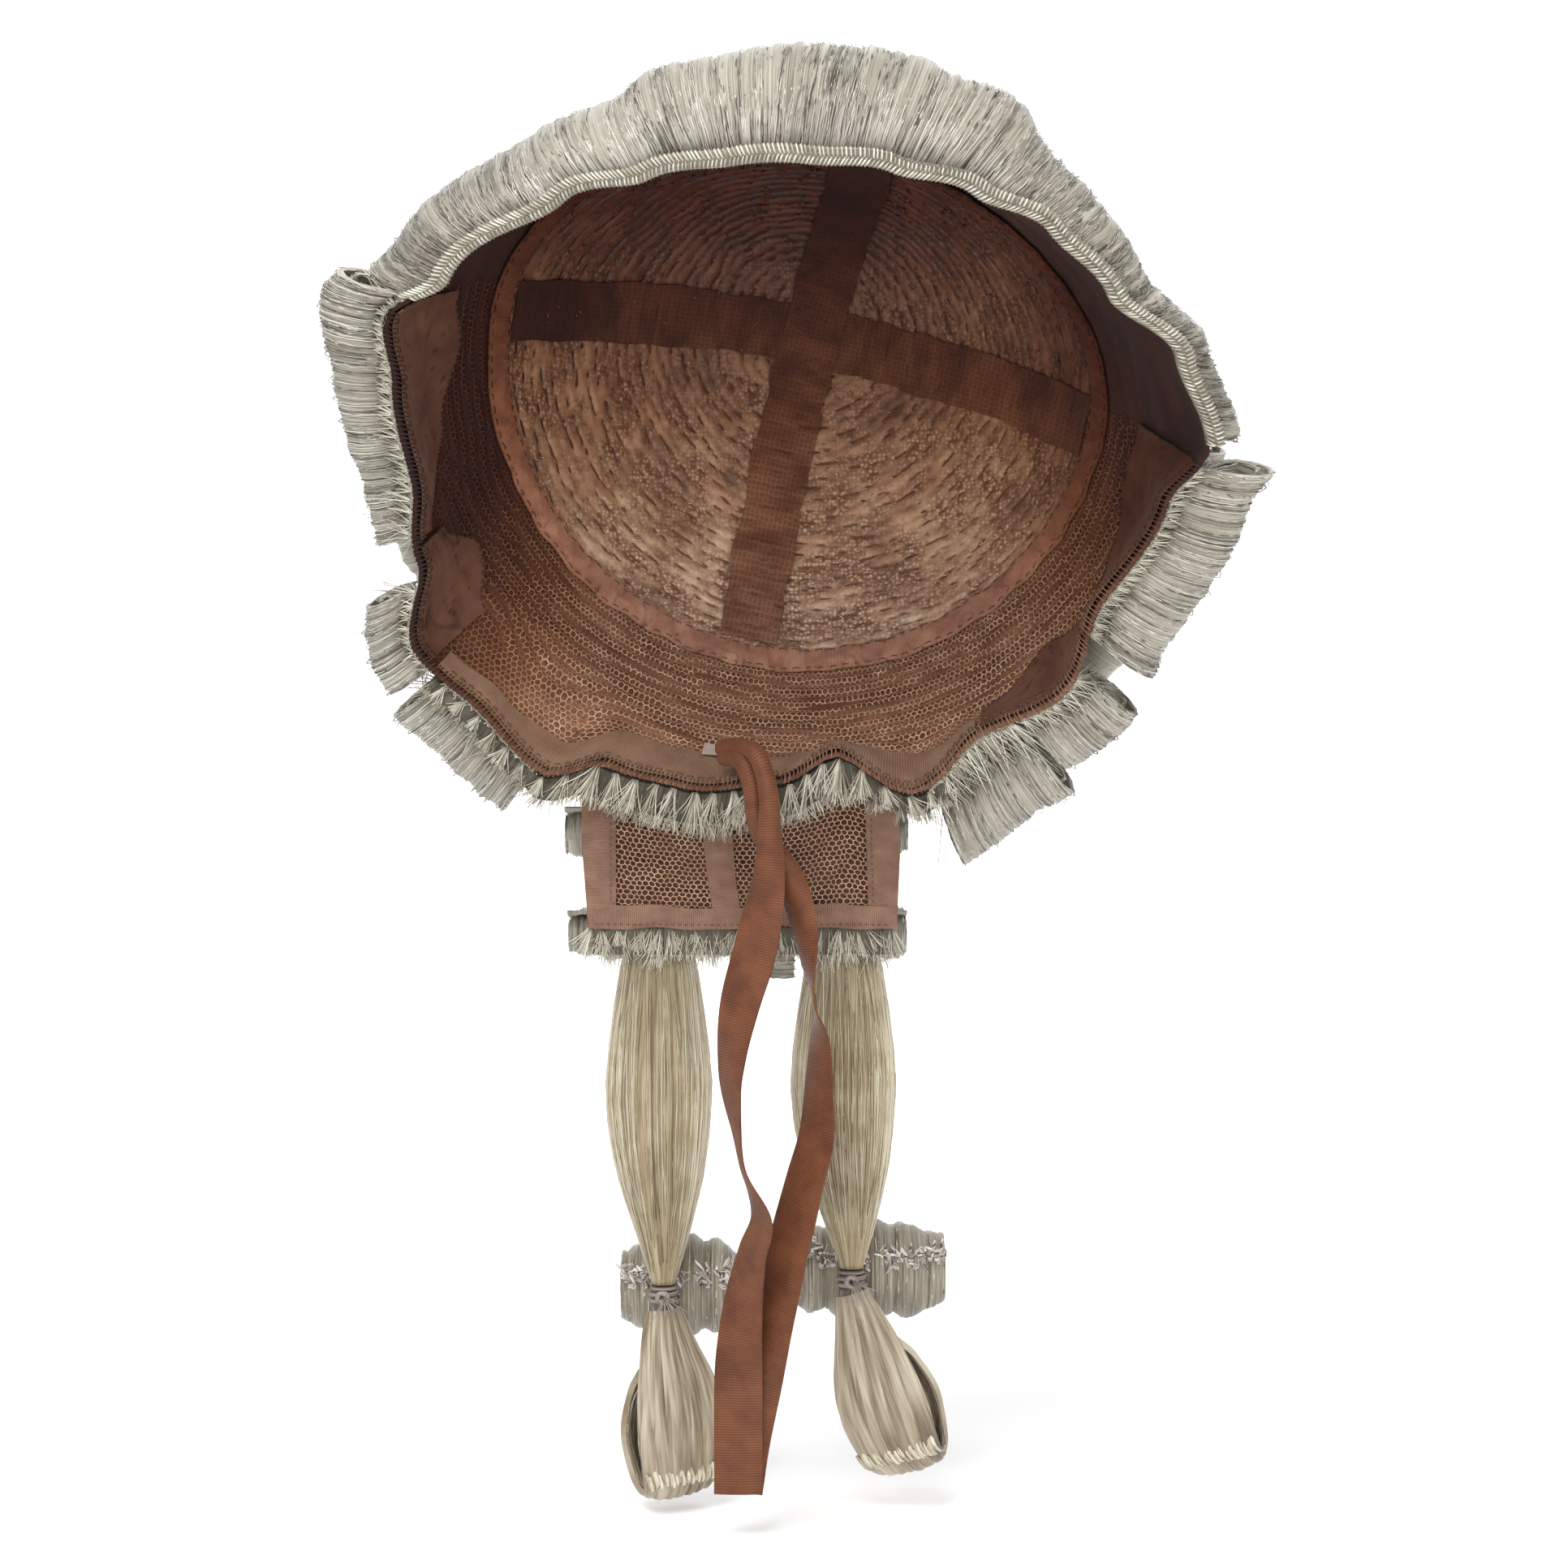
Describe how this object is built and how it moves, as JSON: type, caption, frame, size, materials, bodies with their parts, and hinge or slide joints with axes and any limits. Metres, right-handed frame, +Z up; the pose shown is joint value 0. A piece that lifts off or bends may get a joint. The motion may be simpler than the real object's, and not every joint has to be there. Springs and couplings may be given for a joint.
{
  "type": "barrister wig",
  "caption": "Court wig of pale horsehair: curled rolls round the sides and back, frizzed top, net cap open underneath, hanging flap, two looped tails and a ribbon.",
  "frame": {"origin": "inner crown of the cap, where the two lining bands cross, which is where the wig sits on a head", "axes": "+Z up as the wig hangs in the picture, +Y from the open underside of the cap towards its crown, +X to the picture's right; the cap's own axis is pitched 20 degrees down and turned 12.5 degrees about +Y"},
  "size_m": [0.2225, 0.144, 0.3484],
  "materials": {
    "net": "brown hexagonal cotton net, matt, with tan horsehair weft rows sewn on inside the crown",
    "hair": "pale cream and silver-grey horsehair, frizzed or rolled, soft sheen",
    "tail": "straight blond horsehair, silky, streaky sheen along the strands",
    "tape": "dull pinkish-brown grosgrain binding tape with fine cross ribs and hand stitches",
    "satin": "dark chestnut satin, wrinkled, low gloss",
    "ribbon": "terracotta grosgrain ribbon with fine cross ribs, slight sheen",
    "label": "plain pale woven size tab, left bare"
  },
  "bodies": {
    "root": {"cross_band_long": "net", "cross_band_side": "net", "crown_hair": "hair", "crown_ring_tape": "tape", "ear_facing_left": "satin", "ear_facing_right": "satin", "flap_curl": "hair", "flap_fringe": "hair", "flap_net": "net", "flap_roll_lower_left": "hair", "flap_roll_lower_right": "hair", "flap_roll_upper_left": "hair", "flap_roll_upper_right": "hair", "flap_tape_hem": "tape", "flap_tape_left": "tape", "flap_tape_middle": "tape", "flap_tape_right": "tape", "front_braid": "hair", "front_hair": "hair", "middle_roll_1": "hair", "middle_roll_2": "hair", "middle_roll_3": "hair", "middle_roll_4": "hair", "middle_roll_5": "hair", "middle_roll_6": "hair", "middle_roll_7": "hair", "nape_fringe": "hair", "nape_tape": "tape", "net_cap": "net", "ribbon_front": "ribbon", "ribbon_rear": "ribbon", "rim_roll_1": "hair", "rim_roll_2": "hair", "rim_roll_3": "hair", "rim_roll_4": "hair", "rim_roll_5": "hair", "rim_roll_6": "hair", "size_label": "label", "tail_curl_left": "hair", "tail_curl_right": "hair", "tail_left": "tail", "tail_loop_left": "tail", "tail_loop_right": "tail", "tail_right": "tail", "tail_tie_left": "hair", "tail_tie_right": "hair", "temple_facing_left": "satin", "temple_facing_right": "satin", "upper_roll_1": "hair", "upper_roll_2": "hair", "upper_roll_3": "hair", "upper_roll_4": "hair", "upper_roll_5": "hair", "upper_roll_6": "hair", "upper_roll_7": "hair"}
  },
  "joints": []
}
